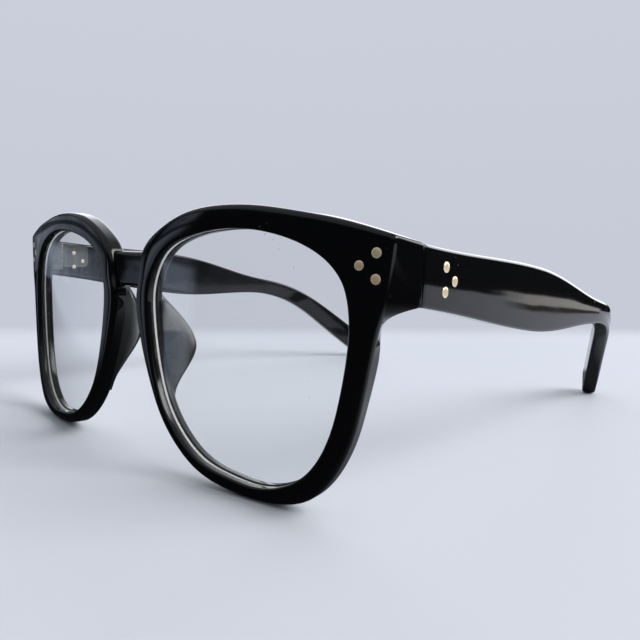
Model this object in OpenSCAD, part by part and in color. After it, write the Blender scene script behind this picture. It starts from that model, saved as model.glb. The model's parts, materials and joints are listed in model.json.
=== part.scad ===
// Square acetate eyeglasses, open, standing on their rims and temple tips.
// The front faces -Y and +X is the wearer's left. Everything is modelled with the front upright and
// the middle of the lens openings at height 0. stood() then leans it back and sets it on the table,
// z = 0, with the middle of the whole at y = 0. Millimetres.

/* [Lens openings] */
// Width of one lens opening
lens_w = 48.3; // [44:0.1:52]
// Height of one lens opening
lens_h = 46.2; // [42:0.1:50]
// Distance between the two lens openings
bridge_gap = 17.5; // [15:0.1:20]
// Thickness of a lens
lens_t = 2.0; // [1.6:0.1:2.4]
// How far a lens bulges forward at its middle
lens_bulge = 0.5; // [0:0.1:0.7]

/* [Front] */
// Radius to which the front is bent
face_r = 255; // [200:5:320]
// Thickness of the front
front_t = 4.0; // [3.6:0.1:5]
// Width of the rim beside a lens
rim_w = 4.0; // [3.4:0.1:4.6]
// Rounding of the rims' outer front edge
edge_r = 1.1; // [0.5:0.1:1.4]
// Rounding of the rims' outer back edge
back_edge_r = 0.8; // [0.4:0.1:1.2]
// Rounding of the same edge on the endpieces, where the temples close against them
joint_edge_r = 0.25; // [0.15:0.05:0.4]
// Bevel of the edges of the lens openings
opening_edge = 0.45; // [0.2:0.05:0.7]
// Depth of the lens groove
groove_d = 0.7; // [0.5:0.05:0.9]
// Half of the lens groove's width
groove_half_w = 0.65; // [0.5:0.05:0.8]
// Play between lens and groove
lens_play = 0.08; // [0.04:0.02:0.15]
// How much an endpiece widens from its front to the temple
end_flare = 1.9; // [1:0.1:2.4]

/* [Bridge] */
// Height of the bridge
bridge_h = 7.8; // [6:0.1:10]
// Height of the bridge's top above the middle of the openings
bridge_top = 18.6; // [16:0.1:20]
// How far the bridge is set back behind the rims
bridge_inset = 1.0; // [0.4:0.1:1.6]
// Extra set-back and waist at the middle of the bridge
bridge_saddle = 0.35; // [0:0.05:0.8]
// Rounding of the bridge's long edges
bridge_r = 0.9; // [0.4:0.1:1.1]

/* [Nose pads] */
// How far a pad stands behind the rim
pad_d = 6.8; // [5:0.1:9]
// Height of a pad's top above the middle of the openings
pad_top = 11.7; // [10:0.1:13]
// Height of a pad's deepest point, measured like pad_top
pad_mid = -1.2; // [-3:0.1:3]
// Height of a pad's lower end, measured like pad_top
pad_low = -14.0; // [-15:0.1:-11]
// Lean of the pads away from the nose, as a slope
pad_splay = 0.55; // [0.3:0.05:0.8]
// Thickness of a pad at its rear edge
pad_tip_t = 1.9; // [1.4:0.1:2.6]

/* [Temples] */
// Length of a temple along its curve
temple_l = 144.8; // [135:0.5:155]
// Thickness of a temple
temple_t = 4.0; // [3.6:0.1:4.6]
// Crown of a temple's outer face
temple_crown = 0.15; // [0:0.05:0.3]
// Height of a temple at the joint
temple_h_joint = 10.1; // [9:0.1:11]
// Height of a temple at its widest place
temple_h_wide = 13.4; // [11:0.1:15]
// Height of a temple at its waist
temple_h_waist = 5.6; // [5.2:0.1:9]
// Height of a temple's tip
temple_h_tip = 7.6; // [7:0.1:11]
// Distance from the joint to the widest place
wide_at = 44.6; // [40:0.2:52]
// Distance from the joint to the start of the bend
bend_at = 79.5; // [72:0.5:86]
// Length over which the tip bends down and inwards
bend_l = 39; // [32:0.5:44]
// Slope of the temple's straight part, in degrees
temple_slope = 6.3; // [4:0.1:9]
// Further downward bend of the tip, in degrees
tip_drop = 29.3; // [25:0.1:36]
// Inward bend of the tip, in degrees
tip_inset = 23; // [10:0.5:30]
// Gap between temple and front when open
joint_gap = 0.12; // [0.05:0.01:0.25]
// Rounding of the temples' long edges
temple_edge_r = 0.8; // [0.4:0.1:1.2]
// Diameter of the metal core inside a temple
core_d = 1.5; // [1:0.1:1.8]
// Distance from the joint to the front end of the core
core_from = 22; // [18:1:30]

/* [Hinges] */
// Distance of the hinge pin from the front's back and from the temple's inner face
pin_stand = 2.4; // [2.2:0.1:2.8]
// How far the hinge lies below the middle of the endpiece
hinge_down = 0.4; // [0:0.1:0.8]
// Outer radius of the hinge barrels
barrel_r = 1.5; // [1.3:0.05:1.6]
// Height of one barrel
barrel_h = 1.5; // [1.2:0.05:1.6]
// Axial play between barrels
barrel_gap = 0.08; // [0.04:0.01:0.12]
// Thickness of a hinge leaf
leaf_t = 1.0; // [0.8:0.05:1.2]
// Depth to which a leaf is let into the acetate
leaf_sink = 0.4; // [0.2:0.05:0.6]
// Play around a leaf in its recess
leaf_play = 0.03; // [0.02:0.01:0.06]
// Radius of the hinge screw's shank
screw_r = 0.7; // [0.5:0.05:0.8]
// Radius of the hinge screw's head
screw_head_r = 1.15; // [1:0.05:1.25]
// Running clearance around the screw
screw_play = 0.04; // [0.02:0.01:0.08]

/* [Rivets] */
// Radius of a rivet's head
rivet_head_r = 1.0; // [0.8:0.05:1.1]
// Radius of a rivet's shank
rivet_r = 0.55; // [0.4:0.05:0.65]
// Height of the triangle of rivets
rivet_rise = 4.1; // [3.6:0.1:4.4]
// Depth of the triangle of rivets
rivet_reach = 2.8; // [2.2:0.1:3.2]
// How far the rivet heads stand proud
rivet_crown = 0.2; // [0.1:0.05:0.3]
// Play around heads and shanks
rivet_play = 0.02; // [0.01:0.01:0.04]

/* [Hidden] */

acetate = [0.07, 0.07, 0.08];
acetate_pad = [0.13, 0.13, 0.14];
clear_lens = [0.8, 0.86, 0.9, 0.35];
brass = [0.8, 0.66, 0.4];
steel = [0.7, 0.71, 0.74];

// Middle of an opening, across, and the depth of the lens groove behind the front.
mid_u = bridge_gap / 2 + lens_w / 2;
groove_at = front_t / 2;

// One rim, clockwise from the nose as seen from the front. Each row is the opening's place in halves
// of its width and height, the step from there to the rim's outer edge in widths of the rim, and 1
// where the outer edge has a corner.
RIM = [
    [-1.000, 0.359, -1.12, 0.06, 0], [-0.971, 0.545, -1.05, 0.16, 0], [-0.882, 0.716, -1.27, 0.53, 0],
    [-0.709, 0.859, -0.98, 0.79, 0], [-0.428, 0.951, -0.63, 1.08, 0], [-0.091, 0.998, -0.26, 1.10, 0],
    [0.238, 0.986, 0.13, 1.09, 0], [0.547, 0.915, 0.63, 1.18, 0], [0.779, 0.801, 1.25, 1.46, 0],
    [0.908, 0.674, 2.45, 1.67, 1], [0.967, 0.551, 1.82, -0.21, 1], [0.996, 0.386, 1.37, -0.01, 0],
    [0.995, 0.157, 1.09, -0.02, 0], [0.949, -0.190, 0.98, -0.18, 0], [0.858, -0.542, 0.88, -0.39, 0],
    [0.660, -0.839, 0.52, -0.83, 0], [0.336, -0.987, 0.13, -0.66, 0], [-0.003, -0.981, -0.07, -0.65, 0],
    [-0.368, -0.894, -0.24, -0.55, 0], [-0.687, -0.640, -0.43, -0.38, 0],
    [-0.862, -0.332, -0.60, -0.24, 0], [-0.961, 0.036, -0.92, -0.14, 0]];
RIM_N = len(RIM);
RIM_STEPS = 4;
BRIDGE_ROW = 1;
END_TOP_ROW = 9;
END_LOW_ROW = 10;
FOOT_ROWS = [15, 18];
NOSE_ROWS = [18.5, RIM_N + 2];

function rim_row(i) = RIM[(i + RIM_N) % RIM_N];
function opening_key(i) = let (q = rim_row(i)) [mid_u + q[0] * lens_w / 2, q[1] * lens_h / 2];
function front_key(i) = let (q = rim_row(i)) opening_key(i) + rim_w * [q[2], q[3]];
function is_corner(i) = rim_row(i)[4] == 1;

// Hinge and temple heights follow the endpiece. At its back the endpiece has the temple's outline.
temple_down = 0.5;
hinge_v = (front_key(END_TOP_ROW)[1] + front_key(END_LOW_ROW)[1]) / 2 - hinge_down;
temple_v = hinge_v - temple_down;
temple_out = front_key(END_TOP_ROW)[0] + end_flare;
end_back_u = temple_out * face_r / (face_r - front_t);
function end_back_v(i) = temple_v + temple_h_joint / 2 * (i % RIM_N == END_TOP_ROW ? 1 : -1);
function outer_key(i, back) = back && is_corner(i) ? [end_back_u, end_back_v(i)] : front_key(i);

// Cubic through two points with their slopes.
function cubic(p, q, mp, mq, t) = p * (2 * t * t * t - 3 * t * t + 1) + mp * (t * t * t - 2 * t * t + t)
    + q * (3 * t * t - 2 * t * t * t) + mq * (t * t * t - t * t);
function opening_slope(i) = (opening_key(i + 1) - opening_key(i - 1)) / 2;
function outer_slope(i, back) = is_corner(i) ? [0, 0] : (outer_key(i + 1, back) - outer_key(i - 1, back)) / 2;
function opening_at(t) = let (i = floor(t))
    cubic(opening_key(i), opening_key(i + 1), opening_slope(i), opening_slope(i + 1), t - i);
function outer_at(t, back = false) = let (i = floor(t))
    cubic(outer_key(i, back), outer_key(i + 1, back), outer_slope(i, back), outer_slope(i + 1, back), t - i);
function unit(a) = a / norm(a);

// Direction away from the middle of the opening, square to its edge.
function outward_at(t) = let (d = unit(opening_at(t + 0.05) - opening_at(t - 0.05))) [-d[1], d[0]];

// The place on a rim, between two others, where its outer edge has the height v.
function place_at(v, a, b, n = 16) = let (c = (a + b) / 2)
    n == 0 ? c : outer_at(c)[1] < v ? place_at(v, c, b, n - 1) : place_at(v, a, c, n - 1);

// A place on the bent sheet: u across, v up and d behind the front surface.
function bent(p, d) = let (a = asin(p[0] / face_r))
    [(face_r - d) * sin(a), face_r - (face_r - d) * cos(a), p[1]];
function back_y(x) = face_r - sqrt(pow(face_r - front_t, 2) - x * x);

// Rises smoothly from 0 to 1 as x does, and between() from a to b.
function ramp(x) = x <= 0 ? 0 : x >= 1 ? 1 : (1 - cos(180 * x)) / 2;
function between(a, b, x) = a + (b - a) * ramp(x);

// The outline of a box with round corners, anticlockwise, every corner in steps of an angle.
CORNERS = [[1, 1, 0], [-1, 1, 90], [-1, -1, 180], [1, -1, 270]];
function rounded(w, h, r, step) = [for (q = CORNERS, a = [0 : step : 90])
    [q[0] * (w / 2 - r) + r * cos(q[2] + a), q[1] * (h / 2 - r) + r * sin(q[2] + a)]];

// A skin over rings of points. The ends are closed with flat caps unless the rings run round.
module loft(rings, round = false) {
    n = len(rings);
    m = len(rings[0]);
    sides = [for (i = [0 : n - (round ? 1 : 2)], j = [0 : m - 1])
        let (a = i * m, b = ((i + 1) % n) * m, k = (j + 1) % m)
        each [[a + j, b + k, b + j], [a + j, a + k, b + k]]];
    caps = round ? [] : [[for (j = [m - 1 : -1 : 0]) j], [for (j = [0 : m - 1]) (n - 1) * m + j]];
    polyhedron(points = [for (ring = rings) each ring], faces = concat(sides, caps), convexity = 6);
}

// The back edge is rounded less on the endpieces.
function back_r(t) = between(joint_edge_r, back_edge_r, max(END_TOP_ROW - t, t - END_LOW_ROW, 0));

// Rim sections, from the outer front edge round to the opening's front edge.
ARC_STEP = 30;
function rim_section(t) =
    let (o = opening_at(t), n = outward_at(t), p = outer_at(t), q = outer_at(t, true),
        e = unit(p - o), g = unit(q - o), k = opening_edge, r = back_r(t))
    concat(
        [for (a = [0 : ARC_STEP : 90]) bent(p - e * edge_r * (1 - sin(a)), edge_r * (1 - cos(a)))],
        [for (a = [0 : ARC_STEP : 90]) bent(q - g * r * (1 - cos(a)), front_t - r * (1 - sin(a)))],
        [for (s = [[g * k, front_t], [[0, 0], front_t - k], [[0, 0], groove_at + groove_half_w],
            [n * groove_d, groove_at], [[0, 0], groove_at - groove_half_w], [[0, 0], k], [e * k, 0]])
            bent(o + s[0], s[1])]);

// Hinge places. The pin stands off the front's back and the temple's inner face alike.
temple_in = temple_out - temple_t;
pin_x = temple_in - pin_stand;
pin_a = asin(pin_x / (face_r - front_t - pin_stand));
pin_y = face_r - (face_r - front_t - pin_stand) * cos(pin_a);
hinge_h = 5 * barrel_h + 4 * barrel_gap;

// Temples, each along a middle line that bends down and inwards. s is the distance from the joint.
tip_r = temple_h_tip * 0.55;
temple_body = temple_l - tip_r;
waist_after_bend = 8;
waist_at = bend_at + waist_after_bend;
full_before_tip = 12;
full_at = temple_l - full_before_tip;
inset_before_bend = 4;
inset_l = bend_l * 0.9;
TEMPLE_STEPS = 34;
TEMPLE_S = concat([for (k = [0 : TEMPLE_STEPS]) temple_body * k / TEMPLE_STEPS],
    [for (a = [20, 38, 54, 68, 80, 87]) temple_body + tip_r * sin(a)]);

function plan_angle(s) = tip_inset * ramp((s - bend_at + inset_before_bend) / inset_l);
function drop_angle(s) = temple_slope + tip_drop * ramp((s - bend_at) / bend_l);
function heading(s) = let (a = plan_angle(s), b = drop_angle(s)) [-sin(a) * cos(b), cos(a) * cos(b), -sin(b)];
function temple_height(s) = s < wide_at ? between(temple_h_joint, temple_h_wide, s / wide_at)
    : s < waist_at ? between(temple_h_wide, temple_h_waist, (s - wide_at) / (waist_at - wide_at))
    : between(temple_h_waist, temple_h_tip, (s - waist_at) / (full_at - waist_at));

// The share of its height and thickness that the rounded end of a temple keeps.
function tip_close(s) = let (a = (s - temple_body) / tip_r) a <= 0 ? 1 : sqrt(max(0, 1 - a * a));
function tip_thin(s) = 0.45 + 0.55 * tip_close(s);

// The middle line, summed from its heading.
joint_x = temple_in + temple_t / 2;
function line_step(k) = (TEMPLE_S[k + 1] - TEMPLE_S[k]) * heading((TEMPLE_S[k + 1] + TEMPLE_S[k]) / 2);
TEMPLE_LINE = [for (k = 0, p = [joint_x, back_y(joint_x) + joint_gap, temple_v]; k < len(TEMPLE_S);
    p = k < len(TEMPLE_S) - 1 ? p + line_step(k) : p, k = k + 1) p];

function across(s) = let (f = heading(s)) unit([f[1], -f[0], 0]);
CROWN_SHARE = 0.4;
function temple_section(h, t) = let (r = min(temple_edge_r, h * 0.45, t * 0.45), b = h / 2 - r)
    concat(rounded(t, h, r, 45), [for (y = [-b, b]) [t / 2 + temple_crown, y * CROWN_SHARE]]);
function temple_ring(k) =
    let (s = TEMPLE_S[k], f = heading(s), out = across(s), up = cross(out, f))
    [for (q = temple_section(temple_height(s) * tip_close(s), temple_t * tip_thin(s)))
        let (g = TEMPLE_LINE[k] + out * q[0] + up * q[1])
        k > 0 ? g : g + f * (back_y(g[0]) + joint_gap - g[1]) / f[1]];
TEMPLE_RINGS = [for (k = [0 : len(TEMPLE_S) - 1]) temple_ring(k)];

// How the frame stands: it leans back until rims and temple tips both reach the table.
feet = [for (k = [FOOT_ROWS[0] * RIM_STEPS : FOOT_ROWS[1] * RIM_STEPS]) each rim_section(k / RIM_STEPS)];
tips = [for (k = [TEMPLE_STEPS - 4 : len(TEMPLE_S) - 1]) each TEMPLE_RINGS[k]];
lean = max([for (p = feet) min([for (q = tips) atan2(q[2] - p[2], q[1] - p[1])])]);
function leaned_y(p) = p[1] * cos(lean) + p[2] * sin(lean);
function leaned_z(p) = p[2] * cos(lean) - p[1] * sin(lean);
stand_z = -min([for (p = feet) leaned_z(p)]);
front_y = min([for (k = [0 : RIM_N * RIM_STEPS - 1], p = rim_section(k / RIM_STEPS)) leaned_y(p)]);
stand_y = -(front_y + max([for (p = tips) leaned_y(p)])) / 2;

module stood() {
    translate([0, stand_y, stand_z]) rotate([-lean, 0, 0]) children();
}
module side_of(left) {
    mirror([left ? 0 : 1, 0, 0]) children();
}

// Front

module rim() {
    loft([for (k = [0 : RIM_N * RIM_STEPS - 1]) rim_section(k / RIM_STEPS)], true);
}

// The bridge is a shallow saddle between the rims, set back from their front.
bridge_overlap = 2.2;
bridge_back_inset = 0.05;
bridge_half = front_key(BRIDGE_ROW)[0] + bridge_overlap;
function bridge_section(x) =
    let (u = x * bridge_half, s = bridge_saddle * (1 - x * x), near = bridge_inset + s,
        far = front_t - bridge_back_inset - s / 3, top = bridge_top - s / 3, low = bridge_top - bridge_h + s)
    [for (q = rounded(far - near, top - low, bridge_r, ARC_STEP))
        bent([u, (top + low) / 2 + q[1]], (near + far) / 2 + q[0])];

module bridge() {
    loft([for (k = [4 : -1 : -4]) bridge_section(k / 4)]);
}

// Carries its children from a frame whose origin is the pin's foot on the front's back face,
// with x across the face, y out of the back and z up.
module on_back() {
    translate([0, face_r, hinge_v]) rotate([0, 0, pin_a]) translate([0, front_t - face_r, 0]) children();
}

// The rivet triangles point away from the joint. Each row is the distance from the joint and the height.
front_rivet_x = 5.1;
front_rivet_up = 0.7;
temple_rivet_y = 6.5;
RIVET_TRIANGLE = [[0, rivet_rise / 2], [rivet_reach, 0], [0, -rivet_rise / 2]];

module at_front_rivets() {
    for (q = RIVET_TRIANGLE) {
        u = temple_out - front_rivet_x - q[0];
        translate([0, face_r, hinge_v + front_rivet_up + q[1]]) rotate([0, 0, asin(u / face_r)])
            translate([0, -face_r, 0]) rotate([-90, 0, 0]) children();
    }
}

// One rivet along +z from the acetate's face, with a domed head let into it.
rivet_head_t = 0.45;
module rivet(length) {
    dome_r = (rivet_head_r * rivet_head_r + rivet_crown * rivet_crown) / (2 * rivet_crown);
    intersection() {
        translate([0, 0, dome_r - rivet_crown]) sphere(r = dome_r, $fn = 48);
        translate([0, 0, -rivet_crown]) cylinder(r = rivet_head_r, h = rivet_crown + rivet_head_t, $fn = 32);
    }
    cylinder(r = rivet_head_r, h = rivet_head_t, $fn = 32);
    cylinder(r = rivet_r, h = length, $fn = 24);
}
module rivet_hole(length) {
    translate([0, 0, -front_t])
        cylinder(r = rivet_head_r + rivet_play, h = front_t + rivet_head_t + rivet_play, $fn = 32);
    cylinder(r = rivet_r + rivet_play, h = length, $fn = 24);
}

// A flat plate in x and z with round corners, its near face at y = 0.
leaf_corner_r = 1.6;
module plate(x0, x1, h, t) {
    r = leaf_corner_r;
    translate([0, t, 0]) rotate([90, 0, 0]) linear_extrude(t) {
        translate([x0 + r, -h / 2]) square([x1 - x0 - 2 * r, h]);
        translate([x0, -h / 2 + r]) square([x1 - x0, h - 2 * r]);
        for (x = [x0 + r, x1 - r], z = [-h / 2 + r, h / 2 - r]) {
            translate([x, z]) circle(r = r, $fn = 32);
        }
    }
}
module leaf(x0, x1, h) {
    translate([0, -leaf_sink, 0]) plate(x0, x1, h, leaf_t);
}
module leaf_recess(x0, x1, h) {
    translate([0, -leaf_sink - leaf_play, 0])
        plate(x0 - leaf_play, x1 + leaf_play, h + 2 * leaf_play, leaf_sink + 2 * leaf_t);
}

// The front leaf runs from beyond the rivets to the barrels, across the back of the endpiece.
front_leaf_more = 1.9;
front_leaf_x0 = -(front_rivet_x + rivet_reach + front_leaf_more - temple_t - pin_stand);
front_leaf_x1 = barrel_r;
front_tail = front_t - leaf_sink + leaf_t;

module front() {
    color(acetate) stood() difference() {
        union() {
            for (left = [true, false]) {
                side_of(left) rim();
            }
            bridge();
        }
        for (left = [true, false]) {
            side_of(left) {
                on_back() leaf_recess(front_leaf_x0, front_leaf_x1, hinge_h);
                at_front_rivets() rivet_hole(front_tail);
            }
        }
    }
}

// Nose pads

// How far a pad stands behind the rim at the height v.
pad_min_d = 0.12;
function pad_depth(v) = max(pad_min_d, pad_d * (v > pad_mid ? sin(90 * min(1, (pad_top - v) / (pad_top - pad_mid)))
    : ramp((v - pad_low) / (pad_mid - pad_low))));

// The pad's section fills the rim's rounded back edge and runs back from it, leaning from the nose.
pad_play = 0.05;
pad_root_w = 3.6;
pad_root_inset = 0.3;
function pad_section(t) =
    let (o = opening_at(t), p = outer_at(t), e = unit(p - o), w = min(norm(p - o) - pad_root_inset, pad_root_w),
        d = pad_depth(p[1]), lean_in = pad_splay * d, tip = min(pad_tip_t, w * 0.8), r = tip / 2,
        back = front_t + pad_play, run = max(pad_min_d / 2, d - r))
    concat(
        [for (a = [0 : 30 : 90]) bent(p - e * back_edge_r * (1 - cos(a)), back - back_edge_r * (1 - sin(a)))],
        [bent(p - e * w, back)],
        [for (s = [0.35, 0.7]) bent(p - e * (w + (lean_in + tip - w) * s), back + run * s)],
        [for (a = [0 : 45 : 180])
            bent(p - e * (lean_in + r + r * cos(a)), back + run + min(r, d) * sin(a))],
        [for (s = [0.66, 0.33]) bent(p - e * lean_in * s * s, back + run * s)]);

PAD_STEPS = 20;
pad_from = place_at(pad_top, NOSE_ROWS[0], NOSE_ROWS[1]);
pad_to = place_at(pad_low, NOSE_ROWS[0], NOSE_ROWS[1]);
module nose_pad(left) {
    color(acetate_pad) stood() side_of(left)
        loft([for (k = [0 : PAD_STEPS]) pad_section(pad_from + (pad_to - pad_from) * k / PAD_STEPS)]);
}

// Lenses

// One ring of a lens: a step out from the opening's edge, a depth, and a share of the way from its middle.
function lens_ring(out, d, share) = [for (k = [0 : RIM_N * RIM_STEPS - 1])
    let (t = k / RIM_STEPS, p = opening_at(t) + outward_at(t) * out)
    bent([mid_u, 0] + (p - [mid_u, 0]) * share, d)];

LENS_SHARE = 0.6;
module lens(left) {
    m = RIM_N * RIM_STEPS;
    half = lens_t / 2;
    v_half = groove_half_w - lens_play;
    bulge = lens_bulge * (1 - LENS_SHARE * LENS_SHARE);
    rings = [for (q = [[-lens_play, -half - bulge, LENS_SHARE], [-lens_play, -half, 1], [-lens_play, -v_half, 1],
        [groove_d - 2 * lens_play, 0, 1], [-lens_play, v_half, 1], [-lens_play, half, 1],
        [-lens_play, half - bulge, LENS_SHARE]]) lens_ring(q[0], groove_at + q[1], q[2])];
    last = len(rings) - 1;
    middles = [for (d = [-half, half]) bent([mid_u, 0], groove_at + d - lens_bulge)];
    sides = [for (i = [0 : last - 1], j = [0 : m - 1]) let (a = i * m, b = a + m, k = (j + 1) % m)
        each [[a + j, b + j, b + k], [a + j, b + k, a + k]]];
    fan = len(rings) * m;
    caps = [for (j = [0 : m - 1]) let (k = (j + 1) % m) each [[fan, j, k], [fan + 1, last * m + k, last * m + j]]];
    points = concat([for (ring = rings) each ring], middles);
    color(clear_lens) stood() side_of(left) polyhedron(points = points, faces = concat(sides, caps), convexity = 4);
}

// Hinges

// Barrels 0, 2 and 4 belong to the front leaf, 1 and 3 to the temple leaf, counted from below.
// The neck that joins a barrel to its leaf is narrower on the side of the other leaf.
neck_w = 0.9;
module barrel(i, side) {
    reach = pin_stand + leaf_sink - leaf_t / 2;
    translate([0, pin_stand, i * (barrel_h + barrel_gap) - hinge_h / 2]) {
        cylinder(r = barrel_r, h = barrel_h, $fn = 48);
        translate([side < 0 ? -barrel_r : -neck_w, -reach, 0]) cube([barrel_r + neck_w, reach, barrel_h]);
    }
}

screw_head_h = 0.7;
slot_w = 0.3;
slot_d = 0.35;
module screw_bore() {
    translate([0, pin_stand, -hinge_h]) cylinder(r = screw_r + screw_play, h = 2 * hinge_h, $fn = 48);
    translate([0, pin_stand, hinge_h / 2 - screw_head_h - screw_play])
        cylinder(r = screw_head_r + screw_play, h = 2 * screw_head_h, $fn = 48);
}

module front_hinge(left) {
    color(brass) stood() side_of(left) difference() {
        on_back() {
            leaf(front_leaf_x0, front_leaf_x1, hinge_h);
            for (i = [0, 2, 4]) {
                barrel(i, -1);
            }
        }
        on_back() screw_bore();
        at_front_rivets() cylinder(r = rivet_r + rivet_play, h = front_tail, $fn = 24);
    }
}

module hinge_screw(left) {
    color(steel) stood() side_of(left) on_back() translate([0, pin_stand, 0]) difference() {
        union() {
            translate([0, 0, -hinge_h / 2]) cylinder(r = screw_r, h = hinge_h, $fn = 48);
            translate([0, 0, hinge_h / 2 - screw_head_h]) cylinder(r = screw_head_r, h = screw_head_h, $fn = 48);
        }
        translate([-2 * screw_head_r, -slot_w / 2, hinge_h / 2 - slot_d])
            cube([4 * screw_head_r, slot_w, 2 * slot_d]);
    }
}

module front_rivets(left) {
    color(brass) stood() side_of(left) at_front_rivets() rivet(front_tail - rivet_play);
}

// Temples

// Carries its children from a frame whose origin is the pin's foot on the temple's inner face,
// with x back along the temple, y into the space between the temples and z up.
module on_inside() {
    translate([temple_in, pin_y, hinge_v]) rotate([0, 0, 90]) children();
}

// The temple's rivets start on its crowned outer face and follow its slope.
module at_temple_rivets() {
    for (q = RIVET_TRIANGLE) {
        s = temple_rivet_y + q[0];
        v = temple_v - s * tan(temple_slope) + q[1];
        translate([temple_out + temple_crown - rivet_play, back_y(temple_out) + joint_gap + s, v])
            rotate([0, -90, 0]) children();
    }
}
temple_tail = temple_t + temple_crown - leaf_sink + leaf_t - rivet_play;

leaf_clear = 0.8;
temple_leaf_more = 1;
temple_leaf_x0 = -(pin_stand + leaf_sink - leaf_t - leaf_clear);
temple_leaf_x1 = temple_rivet_y + rivet_reach + temple_leaf_more;
temple_leaf_h = 6.6;

// The metal core, a little longer and thicker where it is cut out of the acetate.
core_play = 0.05;
CORE_FIRST = ceil(core_from / temple_body * TEMPLE_STEPS);
module core(play) {
    r = core_d / 2 + play;
    loft([for (k = [CORE_FIRST : TEMPLE_STEPS])
        let (f = heading(TEMPLE_S[k]), out = across(TEMPLE_S[k]), up = cross(out, f),
            more = k == CORE_FIRST ? -play : k == TEMPLE_STEPS ? play : 0)
        [for (a = [0 : 45 : 315]) TEMPLE_LINE[k] + f * more + r * (out * cos(a) + up * sin(a))]]);
}

module temple(left) {
    color(acetate) stood() side_of(left) difference() {
        loft(TEMPLE_RINGS);
        core(core_play);
        on_inside() leaf_recess(temple_leaf_x0, temple_leaf_x1, temple_leaf_h);
        at_temple_rivets() rivet_hole(2 * temple_t);
    }
}

module core_wire(left) {
    color(steel) stood() side_of(left) core(0);
}

module temple_hinge(left) {
    color(brass) stood() side_of(left) difference() {
        on_inside() {
            leaf(temple_leaf_x0, temple_leaf_x1, temple_leaf_h);
            for (i = [1, 3]) {
                barrel(i, 1);
            }
        }
        on_inside() screw_bore();
        at_temple_rivets() cylinder(r = rivet_r + rivet_play, h = temple_tail + rivet_play, $fn = 24);
    }
}

module temple_rivets(left) {
    color(brass) stood() side_of(left) at_temple_rivets() rivet(temple_tail);
}

front();
nose_pad(true);  // nose_pad_left
nose_pad(false);  // nose_pad_right
lens(true);  // lens_left
lens(false);  // lens_right
front_hinge(true);  // front_hinge_left
front_hinge(false);  // front_hinge_right
hinge_screw(true);  // hinge_screw_left
hinge_screw(false);  // hinge_screw_right
front_rivets(true);  // front_rivets_left
front_rivets(false);  // front_rivets_right
temple(true);  // temple_left
temple(false);  // temple_right
core_wire(true);  // core_wire_left
core_wire(false);  // core_wire_right
temple_hinge(true);  // temple_hinge_left
temple_hinge(false);  // temple_hinge_right
temple_rivets(true);  // temple_rivets_left
temple_rivets(false);  // temple_rivets_right
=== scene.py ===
import json
import math

import bmesh
import bpy
import numpy as np
from mathutils import Matrix, Vector


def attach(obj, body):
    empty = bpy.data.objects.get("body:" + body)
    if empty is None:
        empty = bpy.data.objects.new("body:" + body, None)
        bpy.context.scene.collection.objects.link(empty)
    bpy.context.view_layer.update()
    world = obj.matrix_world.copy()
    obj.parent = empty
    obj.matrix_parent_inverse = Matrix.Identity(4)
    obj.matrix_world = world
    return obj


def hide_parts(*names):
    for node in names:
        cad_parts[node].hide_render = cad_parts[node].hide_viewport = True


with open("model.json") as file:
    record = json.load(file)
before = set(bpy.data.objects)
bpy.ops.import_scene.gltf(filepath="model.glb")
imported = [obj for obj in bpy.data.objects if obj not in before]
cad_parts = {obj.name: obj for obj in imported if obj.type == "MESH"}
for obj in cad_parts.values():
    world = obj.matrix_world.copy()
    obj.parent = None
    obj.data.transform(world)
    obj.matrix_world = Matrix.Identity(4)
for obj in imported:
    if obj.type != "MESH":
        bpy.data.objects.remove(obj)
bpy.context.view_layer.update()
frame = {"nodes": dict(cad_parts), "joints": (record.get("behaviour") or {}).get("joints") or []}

# Sizes of the frame
LENS_W, LENS_H, BRIDGE_GAP = 48.3, 46.2, 17.5
LENS_T, LENS_BULGE = 2.0, 0.5
FACE_R, FRONT_T, RIM_W = 255.0, 4.0, 4.0
EDGE_R, BACK_EDGE_R, JOINT_EDGE_R, OPENING_EDGE = 1.1, 0.8, 0.25, 0.45
GROOVE_D, GROOVE_HALF_W, LENS_PLAY = 0.7, 0.65, 0.08
END_FLARE, END_CORNER_R = 1.9, 0.8
BRIDGE_H, BRIDGE_TOP, BRIDGE_INSET, BRIDGE_SADDLE, BRIDGE_R = 7.8, 18.6, 1.0, 0.35, 0.9
PAD_D, PAD_TOP, PAD_MID, PAD_LOW, PAD_SPLAY, PAD_TIP_T = 6.8, 11.7, -1.2, -14.0, 0.55, 1.9
TEMPLE_L, TEMPLE_T, TEMPLE_CROWN, TEMPLE_EDGE_R = 144.8, 4.0, 0.15, 0.8
H_JOINT, H_WIDE, H_WAIST, H_TIP = 10.1, 13.4, 5.6, 7.6
WIDE_AT, BEND_AT, BEND_L = 44.6, 79.5, 39.0
WAIST_AT, FULL_AT = BEND_AT + 8, TEMPLE_L - 12
SLOPE, DROP, INSET, JOINT_GAP = 6.3, 29.3, 23.0, 0.12
PIN_STAND, HINGE_DOWN, TEMPLE_DOWN = 2.4, 0.4, 0.5
LEAF_T, LEAF_SINK = 1.0, 0.4
RIVET_HEAD_R, RIVET_R, RIVET_CROWN = 1.0, 0.55, 0.2
RIVET_RISE, RIVET_REACH = 4.1, 2.8
FRONT_RIVET_X, FRONT_RIVET_UP, TEMPLE_RIVET_Y = 5.1, 0.7, 6.5

MID_U = (BRIDGE_GAP + LENS_W) / 2
MIDDLE = np.array([MID_U, 0.0])
GROOVE_AT = FRONT_T / 2

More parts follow.
